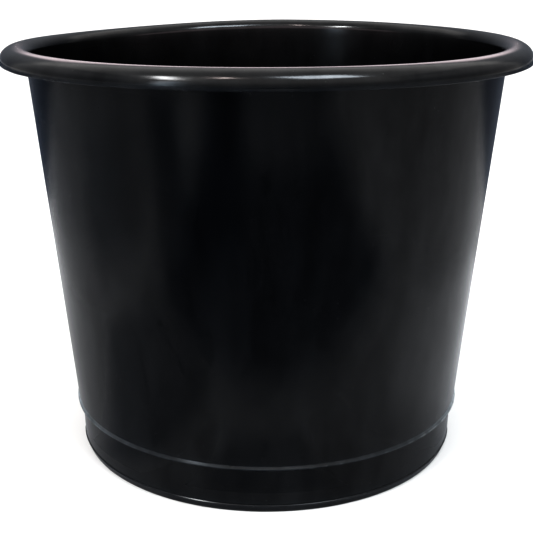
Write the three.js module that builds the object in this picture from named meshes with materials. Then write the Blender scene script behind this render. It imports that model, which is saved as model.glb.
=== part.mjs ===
// Florist bucket: a tapered tub moulded in one piece, with a rolled-over rim and a stepped-in foot.
// Millimetres, +Z up. The origin is the centre of the circle that the foot stands on.
import * as THREE from 'three';

// Overall size
const HEIGHT = 241; // ground to the crown of the rim
const RIM_RADIUS = 150; // outermost radius, on the rolled rim
const FACETS = 72; // flat sides that stand for each full circle

// Tapered wall
const WALL_THICKNESS = 2;
const WALL_TOP_RADIUS = 135.7; // outside radius level with the rim's lower edge
const WALL_FOOT_RADIUS = 117.7; // outside radius just above the step
const WALL_FOOT_HEIGHT = 27.9;

// Rolled rim: an arch that turns out and down from the top of the wall
const RIM_THICKNESS = 2.2;
const CROWN_RADIUS = 140.6; // radius of the highest circle
const SHOULDER_HEIGHT = 233.1; // where the outer face turns from arch to skirt
const SKIRT_HEIGHT = 231.3; // lower edge of the skirt
const SKIRT_RADIUS = 149.7; // outer radius at that edge
const INNER_ARCH_HEIGHT = 6; // how far below the crown the inside of the arch meets the straight wall
const ARCH_STEPS = 6;

// Step at the bottom of the wall, and the band below it
const STEP_INSET = 2.5; // how far the band stands back from the wall above
const STEP_SLOPE = 0.6; // the step's underside rises this much towards its outer edge
const STEP_EDGE = 1; // rounding of the wall's lower edge
const BAND_TOP_HEIGHT = 26.3;
const BAND_TAPER = 0.7; // the band is this much narrower at its lower end

// Foot ring below the parting lip
const LIP_HEIGHT = 4;
const LIP_PROUD = 0.35; // how far the lip stands out from the band
const LIP_HALF_THICKNESS = 0.35;
const FOOT_OUTER_RADIUS = 113.4;
const FOOT_INNER_RADIUS = 110.2;
const FOOT_EDGE = 0.6; // rounding of the foot's two bottom edges
const EDGE_STEPS = 3;

// Base panel, raised inside the foot ring
const BASE_UNDERSIDE = 3.2;
const BASE_THICKNESS = 2.4;
const FLOOR_FILLET = 3; // between the floor and the wall, inside
const FILLET_STEPS = 4;

// Points of an elliptical arc in the section plane; angles in degrees from the outward direction.
function arc(radius, height, halfWidth, halfHeight, startAngle, endAngle, steps) {
  const points = [];
  for (let step = 0; step <= steps; step += 1) {
    const degrees = startAngle + ((endAngle - startAngle) * step) / steps;
    const angle = THREE.MathUtils.degToRad(degrees);
    const across = halfWidth * Math.cos(angle);
    const up = halfHeight * Math.sin(angle);
    points.push(new THREE.Vector2(radius + across, height + up));
  }
  return points;
}

function point(radius, height) {
  return new THREE.Vector2(radius, height);
}

const bandTopRadius = WALL_FOOT_RADIUS - STEP_INSET;
const bandFootRadius = bandTopRadius - BAND_TAPER;
const floorHeight = BASE_UNDERSIDE + BASE_THICKNESS;

// Underside of the base panel and the foot ring, from the axis outwards.
function footProfile() {
  return [
    point(0, BASE_UNDERSIDE),
    point(FOOT_INNER_RADIUS, BASE_UNDERSIDE),
    ...arc(FOOT_INNER_RADIUS + FOOT_EDGE, FOOT_EDGE, FOOT_EDGE, FOOT_EDGE, 180, 270, EDGE_STEPS),
    ...arc(FOOT_OUTER_RADIUS - FOOT_EDGE, FOOT_EDGE, FOOT_EDGE, FOOT_EDGE, 270, 360, EDGE_STEPS),
    point(bandFootRadius, LIP_HEIGHT - LIP_HALF_THICKNESS),
    point(bandFootRadius + LIP_PROUD, LIP_HEIGHT),
    point(bandFootRadius, LIP_HEIGHT + LIP_HALF_THICKNESS),
  ];
}

// The band, the step's underside and the rounded lower edge of the wall, going up.
function stepProfile() {
  const edgeRadius = WALL_FOOT_RADIUS - STEP_EDGE;
  const edgeHeight = WALL_FOOT_HEIGHT - BAND_TOP_HEIGHT - STEP_SLOPE;
  return [
    point(bandTopRadius, BAND_TOP_HEIGHT),
    ...arc(edgeRadius, WALL_FOOT_HEIGHT, STEP_EDGE, edgeHeight, 270, 360, EDGE_STEPS),
  ];
}

// The outside of the wall's top, the hollow under the rim, the skirt, and the crown of the rim.
function rimProfile() {
  const hollowHeight = HEIGHT - RIM_THICKNESS - SHOULDER_HEIGHT;
  const hollowOuter = RIM_RADIUS - RIM_THICKNESS - CROWN_RADIUS;
  const hollowInner = CROWN_RADIUS - WALL_TOP_RADIUS;
  const crownOuter = RIM_RADIUS - CROWN_RADIUS;
  const crownInner = CROWN_RADIUS - WALL_TOP_RADIUS + WALL_THICKNESS;
  const outerHeight = HEIGHT - SHOULDER_HEIGHT;
  const innerHeight = HEIGHT - INNER_ARCH_HEIGHT;
  return [
    point(WALL_TOP_RADIUS, SKIRT_HEIGHT),
    ...arc(CROWN_RADIUS, SHOULDER_HEIGHT, hollowInner, hollowHeight, 180, 90, ARCH_STEPS),
    ...arc(CROWN_RADIUS, SHOULDER_HEIGHT, hollowOuter, hollowHeight, 90, 0, ARCH_STEPS).slice(1),
    point(SKIRT_RADIUS - RIM_THICKNESS, SKIRT_HEIGHT),
    point(SKIRT_RADIUS, SKIRT_HEIGHT),
    ...arc(CROWN_RADIUS, SHOULDER_HEIGHT, crownOuter, outerHeight, 0, 90, ARCH_STEPS),
    ...arc(CROWN_RADIUS, innerHeight, crownInner, INNER_ARCH_HEIGHT, 90, 180, ARCH_STEPS).slice(1),
  ];
}

// The inside, from the wall down over the ledge at the step and across the floor to the axis.
function insideProfile() {
  const ledgeRadius = WALL_FOOT_RADIUS - WALL_THICKNESS;
  const filletRadius = bandFootRadius - WALL_THICKNESS - FLOOR_FILLET;
  const filletHeight = floorHeight + FLOOR_FILLET;
  return [
    point(WALL_TOP_RADIUS - WALL_THICKNESS, SKIRT_HEIGHT),
    point(ledgeRadius, WALL_FOOT_HEIGHT + STEP_EDGE),
    point(bandTopRadius - WALL_THICKNESS, BAND_TOP_HEIGHT + STEP_SLOPE),
    ...arc(filletRadius, filletHeight, FLOOR_FILLET, FLOOR_FILLET, 360, 270, FILLET_STEPS),
    point(0, floorHeight),
  ];
}

const blackPlastic = new THREE.MeshStandardMaterial({ color: 0x0b0b0d, roughness: 0.32, metalness: 0 });

function makeBucket() {
  const profile = [...footProfile(), ...stepProfile(), ...rimProfile(), ...insideProfile()];
  const geometry = new THREE.LatheGeometry(profile, FACETS);
  geometry.rotateX(Math.PI / 2); // the lathe turns about Y, and the bucket stands along Z
  const bucket = new THREE.Mesh(geometry, blackPlastic);
  bucket.name = 'bucket';
  return bucket;
}

const floristBucket = new THREE.Group();
floristBucket.add(makeBucket());

export default floristBucket;
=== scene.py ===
"""Florist bucket: the looks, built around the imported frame.

The bucket is one moulding in black plastic, so it is one piece here too: a fine shell turned from the
bucket's section, with the small edges, mould lines and unevenness of a thin moulding. Lengths in the
section are the bucket's own millimetres. The scene is in metres, +Z up.
"""
import math

import bpy
import numpy as np
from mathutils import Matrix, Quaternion, Vector, noise


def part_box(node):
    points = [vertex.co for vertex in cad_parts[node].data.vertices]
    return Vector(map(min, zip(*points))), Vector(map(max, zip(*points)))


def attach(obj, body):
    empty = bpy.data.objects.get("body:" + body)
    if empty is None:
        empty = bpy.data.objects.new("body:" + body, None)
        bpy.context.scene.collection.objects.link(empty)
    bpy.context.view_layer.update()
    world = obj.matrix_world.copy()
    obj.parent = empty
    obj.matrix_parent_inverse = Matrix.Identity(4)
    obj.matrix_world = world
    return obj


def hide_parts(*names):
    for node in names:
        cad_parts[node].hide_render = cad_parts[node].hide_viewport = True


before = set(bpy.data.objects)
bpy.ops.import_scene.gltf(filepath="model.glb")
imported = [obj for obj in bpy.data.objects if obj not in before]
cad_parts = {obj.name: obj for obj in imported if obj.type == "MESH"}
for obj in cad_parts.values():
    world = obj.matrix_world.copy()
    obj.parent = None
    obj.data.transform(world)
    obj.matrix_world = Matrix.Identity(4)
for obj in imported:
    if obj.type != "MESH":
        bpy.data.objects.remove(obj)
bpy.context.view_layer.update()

bucket_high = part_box("bucket")[1]  # the highest corner of the bucket's box; its x is the rim's radius

# Section of the bucket, in millimetres
RIM_RADIUS = 150.0
MM = bucket_high.x / RIM_RADIUS  # metres in one of the section's millimetres
HEIGHT = bucket_high.z / MM

WALL = 2.0  # thickness of the wall
WALL_TOP = (135.7, 231.3)  # outside of the wall, level with the rim's lower edge
WALL_FOOT = (117.25, 29.4)  # outside of the wall, just above the step's bead

CROWN_RADIUS = 140.6  # radius of the rim's highest circle
SHOULDER_HEIGHT = 233.1  # where the rim's outer face turns from arch to skirt
SKIRT = (149.95, 231.3)  # outer lower corner of the skirt
RIM_THICKNESS = 2.2
INNER_ARCH = 6.0  # height of the rim's inner half, from where the inside wall starts to curve
INNER_ARCH_END = 175  # degrees of the arch's inner half; the wall runs straight down from there
SKIRT_ROUND = 0.35
WITNESS_HEIGHT = 232.5  # mould line round the skirt
WITNESS_ROWS = (("skirt", -0.2), ("witness", -0.1), ("witness", 0.0), ("witness", 0.1), ("skirt", 0.2))

BAND_TOP = (115.2, 26.3)
BAND_FOOT_RADIUS = 114.5
STEP_ROUND = 0.5  # rounding of the step's lower edge
STEP_RISE = 0.6
BEAD = (118.05, 27.9)  # upper edge of the fine bead that finishes the wall at the step
BEAD_ROUND = 0.25
FLANK_DROP = 0.15  # the bead's upper flank meets the wall this far below WALL_FOOT
LEDGE_RISE = 0.2  # the ledge inside starts this far above the step
LEDGE_DROP = 0.4  # and its chamfer ends this far below it
INNER_ROUND = 0.5  # rounding of inside corners

LIP_HEIGHT = 4.0  # parting lip above the foot ring
LIP_PROUD = 0.35
LIP_BELOW = 0.35  # the lip starts this far below LIP_HEIGHT
GROOVE_DEPTH = 0.4
# Rows of the lip and the groove above it: stretch, height above LIP_HEIGHT, how far it stands out
LIP_ROWS = (
    ("lip", -0.15, 0.8 * LIP_PROUD),
    ("lip", 0.05, LIP_PROUD),
    ("lip", 0.25, 0.8 * LIP_PROUD),
    ("groove", 0.45, -0.8 * GROOVE_DEPTH),
    ("groove", 0.65, -GROOVE_DEPTH),
    ("groove", 0.85, -0.8 * GROOVE_DEPTH),
    ("band", 1.1, 0.0),
)
FOOT_OUTER = 113.4
FOOT_INNER = 110.2
FOOT_ROUND = 0.6

BASE_UNDERSIDE = 3.2
FLOOR_HEIGHT = 5.6
FLOOR_FILLET = 3.0
GATE_RADIUS = 2.2  # stub left where the plastic entered the mould
GATE_DROP = 0.8
GATE_TIP_RADIUS = 1.6  # flat end of the stub
GATE_ROUND = 0.4
DISH_INNER = 26.0  # shallow recess in the underside
DISH_OUTER = 96.0
DISH_DEPTH = 0.35
DISH_SLOPE = 2 * DISH_DEPTH  # width of the recess's sloping edges

SECTORS = 320  # columns of faces round the bucket
SUPPORT_GAP = 0.25  # rows this close to each corner keep the shading crisp
FOOT_SPACING = 1.0  # distance between rows on the foot ring, the walls and the base
WALL_SPACING = 3.0
BASE_SPACING = 6.0
FINE_STEPS = 5  # rows in a small rounding, and in an arch of the rim
ARCH_STEPS = 14


class Section:
    """The outline in the plane of the axis: rows of (radius, height), and the stretch each row is on."""

    def __init__(self, radius, height):
        self.points = [(radius, height)]
        self.stretches = ["underside"]

    def to(self, stretch, radius, height):
        self.points.append((radius, height))
        self.stretches.append(stretch)

    def run(self, stretch, radius, height, shares):
        """A straight run to (radius, height), with a row at each share of the way there."""
        start_radius, start_height = self.points[-1]
        for share in shares:
            self.to(
                stretch,
                start_radius + (radius - start_radius) * share,
                start_height + (height - start_height) * share,
            )

    def line(self, stretch, radius, height, spacing=None):
        """A straight run to (radius, height), with rows close to both ends and every spacing between."""
        start_radius, start_height = self.points[-1]
        length = math.hypot(radius - start_radius, height - start_height)
        shares = []
        if length > 4 * SUPPORT_GAP:
            count = max(1, round(length / spacing)) if spacing else 1
            shares = [SUPPORT_GAP / length]
            shares += [i / count for i in range(1, count)]
            shares += [1 - SUPPORT_GAP / length]
        self.run(stretch, radius, height, shares + [1.0])

    def arc(self, stretch, centre, half_width, half_height, start, end, steps):
        """An elliptical arc, angles in degrees from the outward direction; its first point is skipped."""
        for step in range(1, steps + 1):
            angle = math.radians(start + (end - start) * step / steps)
            self.to(
                stretch,
                centre[0] + half_width * math.cos(angle),
                centre[1] + half_height * math.sin(angle),
            )


def draw_underside(section):
    """Gate stub, shallow recess and foot ring, from the axis outwards."""
    section.line("underside", GATE_TIP_RADIUS, BASE_UNDERSIDE - GATE_DROP)
    corner = (GATE_TIP_RADIUS, BASE_UNDERSIDE - GATE_DROP / 2)
    section.arc("underside", corner, GATE_ROUND, GATE_DROP / 2, 270, 360, FINE_STEPS)
    section.line("underside", GATE_RADIUS, BASE_UNDERSIDE)
    section.line("underside", DISH_INNER, BASE_UNDERSIDE, BASE_SPACING)
    section.line("underside", DISH_INNER + DISH_SLOPE, BASE_UNDERSIDE + DISH_DEPTH)
    section.line("underside", DISH_OUTER, BASE_UNDERSIDE + DISH_DEPTH, BASE_SPACING)
    section.line("underside", DISH_OUTER + DISH_SLOPE, BASE_UNDERSIDE)
    section.line("underside", FOOT_INNER - INNER_ROUND, BASE_UNDERSIDE, BASE_SPACING)
    corner = (FOOT_INNER - INNER_ROUND, BASE_UNDERSIDE - INNER_ROUND)
    section.arc("foot", corner, INNER_ROUND, INNER_ROUND, 90, 0, FINE_STEPS)
    section.line("foot", FOOT_INNER, FOOT_ROUND)
    corner = (FOOT_INNER + FOOT_ROUND, FOOT_ROUND)
    section.arc("foot", corner, FOOT_ROUND, FOOT_ROUND, 180, 270, FINE_STEPS)
    section.line("foot", FOOT_OUTER - FOOT_ROUND, 0.0)
    corner = (FOOT_OUTER - FOOT_ROUND, FOOT_ROUND)
    section.arc("foot", corner, FOOT_ROUND, FOOT_ROUND, 270, 360, FINE_STEPS)


def draw_band(section):
    """Foot ring's outer face, parting lip and groove, band, step and bead, going up."""
    section.line("foot", BAND_FOOT_RADIUS, LIP_HEIGHT - LIP_BELOW, FOOT_SPACING)
    for stretch, rise, proud in LIP_ROWS:
        section.to(stretch, BAND_FOOT_RADIUS + proud, LIP_HEIGHT + rise)
    section.line("band", BAND_TOP[0], BAND_TOP[1] - INNER_ROUND, WALL_SPACING)
    corner = (BAND_TOP[0] + INNER_ROUND, BAND_TOP[1] - INNER_ROUND)
    section.arc("band", corner, INNER_ROUND, INNER_ROUND, 180, 100, FINE_STEPS)
    step_height = BAND_TOP[1] + STEP_RISE
    section.line("step", BEAD[0] - STEP_ROUND, step_height)
    corner = (BEAD[0] - STEP_ROUND, step_height + STEP_ROUND)
    section.arc("step", corner, STEP_ROUND, STEP_ROUND, 270, 360, 2 * FINE_STEPS)
    corner = (BEAD[0] - BEAD_ROUND, BEAD[1])
    section.arc("bead", corner, BEAD_ROUND, BEAD_ROUND, 0, 40, FINE_STEPS)
    shares = [step / FINE_STEPS for step in range(1, FINE_STEPS + 1)]
    section.run("bead", WALL_FOOT[0], WALL_FOOT[1] - FLANK_DROP, shares)


def draw_rim(section):
    """Hollow under the rim, skirt and crown, from the top of the outside wall to the top of the inside."""
    hollow_height = HEIGHT - RIM_THICKNESS - SHOULDER_HEIGHT
    hollow_inner = CROWN_RADIUS - WALL_TOP[0]
    hollow_outer = RIM_RADIUS - RIM_THICKNESS - CROWN_RADIUS
    shoulder = (CROWN_RADIUS, SHOULDER_HEIGHT)
    section.line("hollow", WALL_TOP[0], SHOULDER_HEIGHT)
    section.arc("hollow", shoulder, hollow_inner, hollow_height, 180, 90, ARCH_STEPS)
    section.arc("hollow", shoulder, hollow_outer, hollow_height, 90, 0, ARCH_STEPS)
    inner_edge = SKIRT[0] - RIM_THICKNESS
    section.line("skirt", inner_edge, SKIRT[1] + SKIRT_ROUND)
    corner = (inner_edge + SKIRT_ROUND, SKIRT[1] + SKIRT_ROUND)
    section.arc("skirt", corner, SKIRT_ROUND, SKIRT_ROUND, 180, 270, FINE_STEPS)
    section.line("skirt_edge", SKIRT[0] - SKIRT_ROUND, SKIRT[1])
    corner = (SKIRT[0] - SKIRT_ROUND, SKIRT[1] + SKIRT_ROUND)
    section.arc("skirt_edge", corner, SKIRT_ROUND, SKIRT_ROUND, 270, 360, FINE_STEPS)
    for stretch, rise in WITNESS_ROWS:
        share = (WITNESS_HEIGHT + rise - SKIRT[1]) / (SHOULDER_HEIGHT - SKIRT[1])
        radius = SKIRT[0] + (RIM_RADIUS - SKIRT[0]) * share
        section.to(stretch, radius, WITNESS_HEIGHT + rise)
    section.to("crown", RIM_RADIUS, SHOULDER_HEIGHT)
    crown_outer = RIM_RADIUS - CROWN_RADIUS
    crown_inner = CROWN_RADIUS - WALL_TOP[0] + WALL
    section.arc("crown", shoulder, crown_outer, HEIGHT - SHOULDER_HEIGHT, 0, 90, ARCH_STEPS)
    inner_centre = (CROWN_RADIUS, HEIGHT - INNER_ARCH)
    section.arc("crown", inner_centre, crown_inner, INNER_ARCH, 90, INNER_ARCH_END, ARCH_STEPS)


def draw_inside(section):
    """Inside of the wall, ledge at the step, inside of the band and floor, down to the axis."""
    section.line("inside", WALL_FOOT[0] - WALL, WALL_FOOT[1] + STEP_ROUND, WALL_SPACING)
    ledge_radius = BAND_TOP[0] - WALL
    section.line("inside", ledge_radius + INNER_ROUND, BAND_TOP[1] + STEP_RISE + LEDGE_RISE)
    section.line("inside", ledge_radius, BAND_TOP[1] + STEP_RISE - LEDGE_DROP)
    inner_radius = BAND_FOOT_RADIUS - WALL
    section.line("inside", inner_radius, FLOOR_HEIGHT + FLOOR_FILLET, WALL_SPACING)
    corner = (inner_radius - FLOOR_FILLET, FLOOR_HEIGHT + FLOOR_FILLET)
    section.arc("inside", corner, FLOOR_FILLET, FLOOR_FILLET, 360, 270, 2 * FINE_STEPS)
    section.line("floor", 0.0, FLOOR_HEIGHT, BASE_SPACING)


def ring_noise(angle, scale, seed):
    """Smooth noise that closes on itself round the bucket, from -1 to 1; a larger scale is finer."""
    return noise.noise(Vector((math.cos(angle) * scale, math.sin(angle) * scale, seed)))


# Slow waves in the wall: amplitude in mm, waves round, waves up the wall, phase in radians
WALL_WAVES = (
    (0.16, 3, 0.5, 0.4),
    (0.10, 5, 1.0, 2.1),
    (0.06, 8, 1.5, 4.0),
    (0.04, 13, 2.5, 1.2),
)


def wall_wave(angle, share_up):
    """How far the wall stands out, in mm, at an angle and a share of the bucket's height."""
    total = sum(
        amplitude * math.sin(around * angle + phase) * math.cos(math.tau * up * share_up + phase)
        for amplitude, around, up, phase in WALL_WAVES
    )
    return total * math.sin(math.pi * share_up)


# Lift of this thin moulding's rim: amplitude in mm, times round, direction of its crest in degrees from +X
RIM_LIFT = (
    (0.95, 1, -11),
    (0.71, 2, 64),
    (0.28, 3, -37),
    (0.27, 4, 2),
)
DROOP_MEAN = 0.95  # average droop in mm
DROOP_FADE = 6  # the droop falls off down the wall as this power of the height


def rim_dip(angle):
    """How far the rim droops, in mm, never above its full height."""
    lift = sum(size * math.cos(times * (angle - math.radians(crest))) for size, times, crest in RIM_LIFT)
    return max(0.0, DROOP_MEAN - lift)


def flash(angle):
    """Length in mm of the ragged flash below the skirt, which comes in patches."""
    patch = max(0.0, ring_noise(angle, scale=2.5, seed=3.1))
    return patch * max(0.0, 0.5 + ring_noise(angle, scale=24.0, seed=8.2))


LIP_KEPT = 0.8  # share of the lip that is left, on average
LIP_WEAR = 0.6  # how much that varies round the bucket
NICK_FROM = 0.35  # noise above this is a nick
NICK_DEPTH = 4.0


def worn_lip(angle):
    """Share of the parting lip that is left after handling."""
    nick = max(0.0, ring_noise(angle, scale=30.0, seed=5.5) - NICK_FROM)
    kept = LIP_KEPT + LIP_WEAR * ring_noise(angle, scale=6.0, seed=1.7) - NICK_DEPTH * nick
    return max(0.0, min(1.0, kept))


WITNESS_DEPTH = 0.16


def witness_depth(angle):
    """Depth in mm of the mould line round the skirt, which fades in and out."""
    return WITNESS_DEPTH * max(0.0, ring_noise(angle, scale=4.0, seed=6.4))


def shell_points(section):
    """Every row turned round the axis, uneven as a moulding is. Returns metres, as rows x sectors x 3."""
    places = np.zeros((len(section.points), SECTORS, 3))
    for column in range(SECTORS):
        angle = math.tau * column / SECTORS
        dip, ragged, lip, witness = rim_dip(angle), flash(angle), worn_lip(angle), witness_depth(angle)
        for row, (radius, height) in enumerate(section.points):
            stretch = section.stretches[row]
            share_up = height / HEIGHT
            if stretch not in ("floor", "underside"):
                radius += wall_wave(angle, share_up)
            if stretch == "lip":
                radius -= LIP_PROUD * (1 - lip)
            if stretch == "witness":
                radius -= witness
            if stretch == "skirt_edge":
                height -= ragged
            height -= dip * share_up**DROOP_FADE
            radius = min(radius, RIM_RADIUS)
            places[row, column] = (radius * math.cos(angle), radius * math.sin(angle), height)
    return places * MM


RUBBED_EDGES = (BEAD, (BAND_FOOT_RADIUS, LIP_HEIGHT), (FOOT_OUTER, 0.0), SKIRT, (CROWN_RADIUS, HEIGHT))
WEAR_REACH = 2.0  # mm


def edge_wear(section):
    """For each row, from 0 to 1, how near it is to an edge that gets rubbed."""
    wear = []
    for radius, height in section.points:
        nearest = min(math.hypot(radius - edge[0], height - edge[1]) for edge in RUBBED_EDGES)
        wear.append(math.exp(-nearest / WEAR_REACH))
    return wear


def ledge_dust(section):
    """For each row, 1 on the bead's upward-facing flank, where dust settles."""
    return [1.0 if stretch == "bead" else 0.0 for stretch in section.stretches]


DULL_FROM = 0.6  # share of the inner arch's height below the crown at which the inside starts to be dull


def dullness(section):
    """For each row, 1 on the inside, whose mould was not polished, fading to 0 up the rim."""
    dull = []
    for (radius, height), stretch in zip(section.points, section.stretches):
        inside = stretch in ("inside", "floor", "crown") and radius < CROWN_RADIUS
        depth = (HEIGHT - height) / INNER_ARCH - DULL_FROM
        dull.append(max(0.0, min(1.0, depth)) if inside else 0.0)
    return dull


def make_shell(section):
    """Closed mesh of the section turned round the axis, with its wear, dullness and dust at each point."""
    places = shell_points(section)
    last = len(section.points) - 1
    vertices = [places[0, 0]]
    vertices += [p for row in places[1:last] for p in row]
    vertices += [places[last, 0]]
    top = len(vertices) - 1

    def index(row, column):
        return 1 + (row - 1) * SECTORS + column % SECTORS

    faces = []
    for column in range(SECTORS):
        faces.append((0, index(1, column + 1), index(1, column)))
        faces.append((top, index(last - 1, column), index(last - 1, column + 1)))
        for row in range(1, last - 1):
            faces.append(
                (
                    index(row, column),
                    index(row, column + 1),
                    index(row + 1, column + 1),
                    index(row + 1, column),
                )
            )
    mesh = bpy.data.meshes.new("bucket_shell")
    mesh.from_pydata([tuple(v) for v in vertices], [], faces)
    mesh.shade_smooth()
    shares = {"wear": edge_wear(section), "dull": dullness(section), "ledge": ledge_dust(section)}
    for name, rows in shares.items():
        values = [rows[0]]
        values += [value for value in rows[1:last] for _ in range(SECTORS)]
        values += [rows[last]]
        mesh.attributes.new(name, "FLOAT", "POINT").data.foreach_set("value", values)
    shell = bpy.data.objects.new("bucket_shell", mesh)
    bpy.context.scene.collection.objects.link(shell)
    return shell


SPECKS_CHOSEN = (0.90, 0.94)  # a cell of the pattern holds a speck if its random number is above these


class Material:
    """A node material, with short calls to add and join nodes."""

    def __init__(self, name):
        self.material = bpy.data.materials.new(name)
        self.material.use_nodes = True
        self.tree = self.material.node_tree
        self.tree.nodes.clear()
        self.output = self.tree.nodes.new("ShaderNodeOutputMaterial")
        self.shader = self.tree.nodes.new("ShaderNodeBsdfPrincipled")
        self.tree.links.new(self.shader.outputs["BSDF"], self.output.inputs["Surface"])
        self.place = self.tree.nodes.new("ShaderNodeTexCoord").outputs["Object"]

    def put(self, value, socket):
        if isinstance(value, bpy.types.NodeSocket):
            self.tree.links.new(value, socket)
        else:
            socket.default_value = value

    def noise(self, scale, detail=3.0, stretch=(1.0, 1.0, 1.0), roughness=0.5):
        mapping = self.tree.nodes.new("ShaderNodeMapping")
        mapping.inputs["Scale"].default_value = stretch
        self.put(self.place, mapping.inputs["Vector"])
        node = self.tree.nodes.new("ShaderNodeTexNoise")
        self.put(mapping.outputs["Vector"], node.inputs["Vector"])
        node.inputs["Scale"].default_value = scale
        node.inputs["Detail"].default_value = detail
        node.inputs["Roughness"].default_value = roughness
        return node.outputs["Fac"]

    def specks(self, scale, size):
        """1 inside small round specks scattered over the surface, 0 between them."""
        node = self.tree.nodes.new("ShaderNodeTexVoronoi")
        self.put(self.place, node.inputs["Vector"])
        node.inputs["Scale"].default_value = scale
        split = self.tree.nodes.new("ShaderNodeSeparateColor")
        self.put(node.outputs["Color"], split.inputs["Color"])
        chosen = self.between(split.outputs["Red"], *SPECKS_CHOSEN)
        near = self.between(node.outputs["Distance"], size, 0.6 * size)
        return self.math("MULTIPLY", chosen, near)

    def between(self, value, low, high, out_low=0.0, out_high=1.0, smooth=False):
        node = self.tree.nodes.new("ShaderNodeMapRange")
        node.interpolation_type = "SMOOTHSTEP" if smooth else "LINEAR"
        self.put(value, node.inputs["Value"])
        node.inputs["From Min"].default_value = low
        node.inputs["From Max"].default_value = high
        node.inputs["To Min"].default_value = out_low
        node.inputs["To Max"].default_value = out_high
        return node.outputs["Result"]

    def math(self, operation, first, second=0.0):
        node = self.tree.nodes.new("ShaderNodeMath")
        node.operation = operation
        self.put(first, node.inputs[0])
        self.put(second, node.inputs[1])
        return node.outputs["Value"]

    def mix(self, share, first, second):
        node = self.tree.nodes.new("ShaderNodeMix")
        node.data_type = "RGBA"
        self.put(share, node.inputs["Factor"])
        self.put(first, node.inputs["A"])
        self.put(second, node.inputs["B"])
        return node.outputs["Result"]

    def attribute(self, name):
        node = self.tree.nodes.new("ShaderNodeAttribute")
        node.attribute_name = name
        return node.outputs["Fac"]

    def bump(self, height, distance, normal=None):
        node = self.tree.nodes.new("ShaderNodeBump")
        self.put(height, node.inputs["Height"])
        node.inputs["Distance"].default_value = distance
        if normal is not None:
            self.put(normal, node.inputs["Normal"])
        return node.outputs["Normal"]


def black_plastic():
    """Glossy black polypropylene: haze, dust, smudges, scratches, faint rings of the mould's polish, wear."""
    look = Material("black_plastic")
    cloudy = look.noise(14.0, 4.0)
    streaky = look.noise(34.0, 5.0, stretch=(1.0, 1.0, 0.22), roughness=0.65)
    mottled = look.noise(120.0, 3.0, stretch=(1.0, 1.0, 0.5))
    grain = look.noise(640.0, 2.0)
    smudges = look.between(look.noise(26.0, 5.0, roughness=0.6), 0.52, 0.68)
    rings = look.noise(40.0, 2.0, stretch=(0.12, 0.12, 16.0))
    scratches = look.between(look.noise(70.0, 2.0, stretch=(0.15, 0.15, 9.0)), 0.70, 0.78)
    peel = look.noise(900.0, 1.0)
    dust = look.specks(420.0, 0.14)
    breakup = look.between(look.noise(160.0, 4.0), 0.30, 0.60, 0.55, 1.0)
    wear = look.math("MULTIPLY", look.attribute("wear"), breakup)
    dull = look.attribute("dull")
    haze = look.math("ADD", look.math("MULTIPLY", streaky, 0.6), look.math("MULTIPLY", mottled, 0.25))
    haze = look.math("ADD", haze, look.math("MULTIPLY", grain, 0.15))

    deep = (0.0016, 0.0019, 0.0026, 1.0)
    pale = (0.0056, 0.0062, 0.0072, 1.0)
    worn = (0.013, 0.016, 0.020, 1.0)
    scuffed = (0.016, 0.017, 0.018, 1.0)
    dusty = (0.030, 0.030, 0.029, 1.0)
    colour = look.mix(look.between(haze, 0.38, 0.62), deep, pale)
    colour = look.mix(look.math("MULTIPLY", wear, 0.7), colour, worn)
    colour = look.mix(look.math("MULTIPLY", scratches, 0.6), colour, scuffed)
    colour = look.mix(look.math("MULTIPLY", dust, 0.5), colour, dusty)
    look.put(colour, look.shader.inputs["Base Color"])

    rough = look.between(cloudy, 0.3, 0.7, 0.14, 0.18)
    rough = look.math("ADD", rough, look.math("MULTIPLY", smudges, 0.05))
    rough = look.math("ADD", rough, look.math("MULTIPLY", wear, 0.12))
    rough = look.math("ADD", rough, look.math("MULTIPLY", dull, 0.11))
    rough = look.math("ADD", rough, look.math("MULTIPLY", dust, 0.20))
    look.put(rough, look.shader.inputs["Roughness"])
    gloss = look.between(haze, 0.36, 0.64, 0.42, 0.58)
    gloss = look.math("MULTIPLY", gloss, look.between(dull, 0.0, 1.0, 1.0, 0.55))  # less on the inside
    look.put(gloss, look.shader.inputs["Specular IOR Level"])
    ledge = look.math("MULTIPLY", look.attribute("ledge"), breakup)
    look.put(ledge, look.shader.inputs["Sheen Weight"])
    look.shader.inputs["Sheen Tint"].default_value = (0.84, 0.93, 1.0, 1.0)
    look.shader.inputs["Sheen Roughness"].default_value = 0.45

    normal = look.bump(peel, 0.000006)
    normal = look.bump(rings, 0.000006, normal)
    normal = look.bump(scratches, -0.000008, normal)
    look.put(normal, look.shader.inputs["Normal"])
    look.shader.inputs["IOR"].default_value = 1.49
    return look.material


def pale_paper():
    """Matt white paper sweep for the floor."""
    look = Material("pale_paper")
    tone = look.noise(3.0, 3.0)
    colour = look.mix(tone, (0.73, 0.73, 0.73, 1.0), (0.76, 0.76, 0.755, 1.0))
    look.put(colour, look.shader.inputs["Base Color"])
    look.shader.inputs["Roughness"].default_value = 0.85
    look.shader.inputs["Specular IOR Level"].default_value = 0.1
    return look.material


def make_flat(name, half_width, half_length, material):
    """A flat rectangle round the origin."""
    mesh = bpy.data.meshes.new(name)
    corners = [
        (-half_width, -half_length, 0),
        (half_width, -half_length, 0),
        (half_width, half_length, 0),
        (-half_width, half_length, 0),
    ]
    mesh.from_pydata(corners, [], [(0, 1, 2, 3)])
    mesh.materials.append(material)
    flat = bpy.data.objects.new(name, mesh)
    bpy.context.scene.collection.objects.link(flat)
    return flat


FLOOR_REACH = 60  # rim radii from the bucket's axis to the floor's edges


def make_floor():
    reach = FLOOR_REACH * bucket_high.x
    make_flat("floor", reach, reach, pale_paper())


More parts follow.
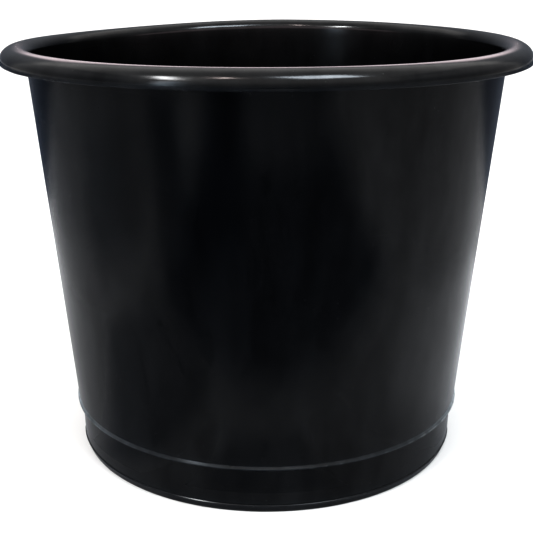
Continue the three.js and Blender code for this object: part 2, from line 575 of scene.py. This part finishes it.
# Camera, in rim radii from the foot's centre
CAMERA_BACK = 4.046
CAMERA_UP = 1.969
CAMERA_PITCH = math.radians(17.57)  # below the horizon
CAMERA_LENS = 70.0  # mm
CAMERA_SENSOR = 36.0  # mm
CAMERA_REACH = 100.0  # metres


def make_camera():
    data = bpy.data.cameras.new("camera")
    data.sensor_width = CAMERA_SENSOR
    data.lens = CAMERA_LENS
    data.clip_end = CAMERA_REACH
    camera = bpy.data.objects.new("camera", data)
    rim = bucket_high.x
    camera.location = (0.0, -CAMERA_BACK * rim, CAMERA_UP * rim)
    camera.rotation_euler = (math.pi / 2 - CAMERA_PITCH, 0.0, 0.0)
    bpy.context.scene.collection.objects.link(camera)
    bpy.context.scene.camera = camera


SOFTBOX_AIM = (0.0, -0.12, 0.24)  # metres; near the front of the rim
SOFTBOX_DISTANCE = 1.6
# Softboxes: name, degrees right of the front, degrees up, lean to the left in degrees, width, height,
# radiance, colour
SOFTBOXES = (
    ("key_right", 40, 64, 0, 0.62, 0.56, 9.0, (0.86, 0.93, 1.0)),
    ("fill_left", -54.5, 46.5, 34, 0.14, 0.60, 26.0, (0.98, 0.99, 1.0)),
    ("glow_left", -42, 10, 0, 0.20, 0.95, 3.8, (0.74, 0.88, 1.0)),
    ("kicker_left", -28.5, 61, 20, 0.07, 0.26, 26.0, (1.0, 0.86, 0.83)),
    ("strip_left", -45, 25, 0, 0.10, 1.20, 2.0, (1.0, 0.96, 0.95)),
)


def make_lights():
    for name, right, up, lean, width, height, radiance, colour in SOFTBOXES:
        data = bpy.data.lights.new(name, "AREA")
        data.shape = "RECTANGLE"
        data.size = width
        data.size_y = height
        data.energy = radiance * math.pi * width * height
        data.color = colour
        light = bpy.data.objects.new(name, data)
        level = math.cos(math.radians(up))
        direction = Vector(
            (
                level * math.sin(math.radians(right)),
                -level * math.cos(math.radians(right)),
                math.sin(math.radians(up)),
            )
        )
        light.location = Vector(SOFTBOX_AIM) + SOFTBOX_DISTANCE * direction
        turn = Quaternion((0.0, 0.0, 1.0), math.radians(lean))
        light.rotation_euler = (direction.to_track_quat("Z", "Y") @ turn).to_euler()
        light.visible_camera = False
        bpy.context.scene.collection.objects.link(light)


HORIZON_GLOW = 0.42
OVERHEAD_GLOW = 1.05
OVERHEAD_FROM = 0.65  # sine of the angle up at which the tent reaches its full brightness
TENT_COLOUR = (1.0, 0.985, 0.97, 1.0)


def make_world():
    """A pale tent all round: brightest overhead, duller towards the horizon."""
    world = bpy.data.worlds.new("studio")
    world.use_nodes = True
    nodes, links = world.node_tree.nodes, world.node_tree.links
    direction = nodes.new("ShaderNodeTexCoord")
    split = nodes.new("ShaderNodeSeparateXYZ")
    ramp = nodes.new("ShaderNodeMapRange")
    ramp.interpolation_type = "SMOOTHSTEP"
    ramp.inputs["From Min"].default_value = 0.0
    ramp.inputs["From Max"].default_value = OVERHEAD_FROM
    ramp.inputs["To Min"].default_value = HORIZON_GLOW
    ramp.inputs["To Max"].default_value = OVERHEAD_GLOW
    links.new(direction.outputs["Generated"], split.inputs["Vector"])
    links.new(split.outputs["Z"], ramp.inputs["Value"])
    links.new(ramp.outputs["Result"], nodes["Background"].inputs["Strength"])
    nodes["Background"].inputs["Color"].default_value = TENT_COLOUR
    bpy.context.scene.world = world


def set_contrast():
    bpy.context.scene.view_settings.view_transform = "Standard"
    bpy.context.scene.view_settings.look = "Very High Contrast"


PAINTED_REFLECTION_SHADE = (0.0, 0.018, 0.052, 1.0)  # a deep blue, painted shade in the bucket's reflections, which cools the black
# colour of a glowing card that paints a brighter patch into the bucket's reflections
PAINTED_HIGHLIGHT_WHITE = (0.95, 0.97, 1.0, 1.0)
PAINTED_HIGHLIGHT_PINK = (1.85, 1.60, 1.65, 1.0)  # a warm white for the painted highlight along the rim's inner edge, brighter than the tent
CARD_GAP = 0.001  # each card is raised this much more than the one before, so none lies in another
# Cards that paint reflections, seen only by gloss: the dark ones paint shade and the bright ones paint
# highlights.
# They lie on the floor, hang overhead and stand near by: name, centre in metres, tilt up from lying flat and
# turn in degrees, half width, half length, softness of the edges, cover, colour
PAINTED_REFLECTION_CARDS = (
    ("card_all", (0.0, 0.0, 0.0), 0, 0, 4.0, 4.0, 1.0, 0.45, PAINTED_REFLECTION_SHADE),
    ("card_left", (-0.95, -0.10, 0.0), 0, 0, 0.65, 1.20, 0.25, 0.28, PAINTED_REFLECTION_SHADE),
    ("card_side", (-0.56, -0.13, 0.0), 0, 0, 0.24, 0.16, 0.10, 0.28, PAINTED_REFLECTION_SHADE),
    ("card_front", (0.045, -0.4025, 0.0), 0, 0, 0.325, 0.2175, 0.09, 0.68, PAINTED_REFLECTION_SHADE),
    ("card_middle", (0.06, -0.70, 0.0), 0, 0, 0.36, 0.26, 0.13, 0.40, PAINTED_REFLECTION_SHADE),
    ("card_far", (0.10, -0.98, 0.0), 0, 0, 0.55, 0.28, 0.20, 0.60, PAINTED_REFLECTION_SHADE),
    ("card_stripe", (-0.235, -0.68, 0.0), 0, -15, 0.14, 0.36, 0.09, 0.88, PAINTED_REFLECTION_SHADE),
    ("card_shade", (-0.395, -0.445, 0.0), 0, -55, 0.12, 0.30, 0.09, 0.66, PAINTED_REFLECTION_SHADE),
    ("card_horizon", (0.0, -2.55, 0.0), 0, 0, 2.40, 1.30, 0.45, 0.60, PAINTED_REFLECTION_SHADE),
    # glowing card: a painted brighter patch in the bucket's reflections
    ("card_right", (0.235, 0.05, 0.0), 0, 0, 0.135, 0.25, 0.08, 0.38, PAINTED_HIGHLIGHT_WHITE),
    ("card_near", (-0.17, -0.135, 0.0), 0, 0, 0.10, 0.085, 0.03, 0.36, PAINTED_REFLECTION_SHADE),
    ("card_foot", (0.0, -0.14, 0.0), 0, 0, 0.045, 0.035, 0.015, 0.28, PAINTED_REFLECTION_SHADE),
    ("card_behind", (0.0, 1.70, 0.0), 0, 0, 2.00, 1.35, 0.18, 0.70, PAINTED_REFLECTION_SHADE),
    ("card_ceiling", (0.0, -0.20, 2.60), 0, 0, 3.60, 1.30, 0.80, 0.20, PAINTED_REFLECTION_SHADE),
    ("card_wing_left", (-1.60, 0.0, 1.10), 90, 90, 1.30, 0.90, 0.40, 0.36, PAINTED_REFLECTION_SHADE),
    ("card_wing_right", (1.60, 0.0, 1.10), 90, 90, 1.30, 0.90, 0.40, 0.36, PAINTED_REFLECTION_SHADE),
    ("card_back", (0.0, 1.60, 0.75), 90, 0, 2.20, 0.85, 0.30, 0.62, PAINTED_REFLECTION_SHADE),
    # glowing card in the bucket's mouth: the painted highlight along the rim's inner edge
    ("card_mouth", (0.0, 0.03, 0.268), 90, 0, 0.165, 0.040, 0.02, 0.75, PAINTED_HIGHLIGHT_PINK),
)


def painted_reflection_material(name, half_width, half_length, softness, cover, colour):
    """A card that paints reflections, glowing in its colour: clear at the card's edges, and in its middle as
    opaque as the share in cover.
    """
    look = Material(name)
    split = look.tree.nodes.new("ShaderNodeSeparateXYZ")
    look.put(look.place, split.inputs["Vector"])
    shares = []
    for side, half in (("X", half_width), ("Y", half_length)):
        inward = look.math("SUBTRACT", half, look.math("ABSOLUTE", split.outputs[side]))
        shares.append(look.between(inward, 0.0, softness, smooth=True))
    shade = look.math("MULTIPLY", shares[0], shares[1])
    clear = look.tree.nodes.new("ShaderNodeBsdfTransparent")
    face = look.tree.nodes.new("ShaderNodeEmission")
    face.inputs["Color"].default_value = colour
    mixed = look.tree.nodes.new("ShaderNodeMixShader")
    look.put(look.math("MULTIPLY", shade, cover), mixed.inputs["Fac"])
    look.put(clear.outputs["BSDF"], mixed.inputs[1])
    look.put(face.outputs["Emission"], mixed.inputs[2])
    look.put(mixed.outputs["Shader"], look.output.inputs["Surface"])
    look.tree.nodes.remove(look.shader)
    return look.material


def make_painted_reflections():
    for order, (name, centre, tilt, turn, half_width, half_length, *finish) in enumerate(PAINTED_REFLECTION_CARDS):
        material = painted_reflection_material(name, half_width, half_length, *finish)
        card = make_flat(name, half_width, half_length, material)
        card.location = (centre[0], centre[1], centre[2] + CARD_GAP * (order + 1))
        card.rotation_euler = (math.radians(tilt), 0.0, math.radians(turn))
        # hidden from the camera, diffuse light and shadows, so the card only paints reflections
        card.visible_camera = False
        card.visible_diffuse = False
        card.visible_shadow = False


def make_bucket():
    section = Section(0.0, BASE_UNDERSIDE - GATE_DROP)
    draw_underside(section)
    draw_band(section)
    section.line("wall", WALL_TOP[0], WALL_TOP[1], WALL_SPACING)
    draw_rim(section)
    draw_inside(section)
    shell = make_shell(section)
    shell.data.materials.append(black_plastic())
    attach(shell, "root")
    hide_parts("bucket")


make_bucket()
make_floor()
make_camera()
make_lights()
make_painted_reflections()
make_world()
set_contrast()
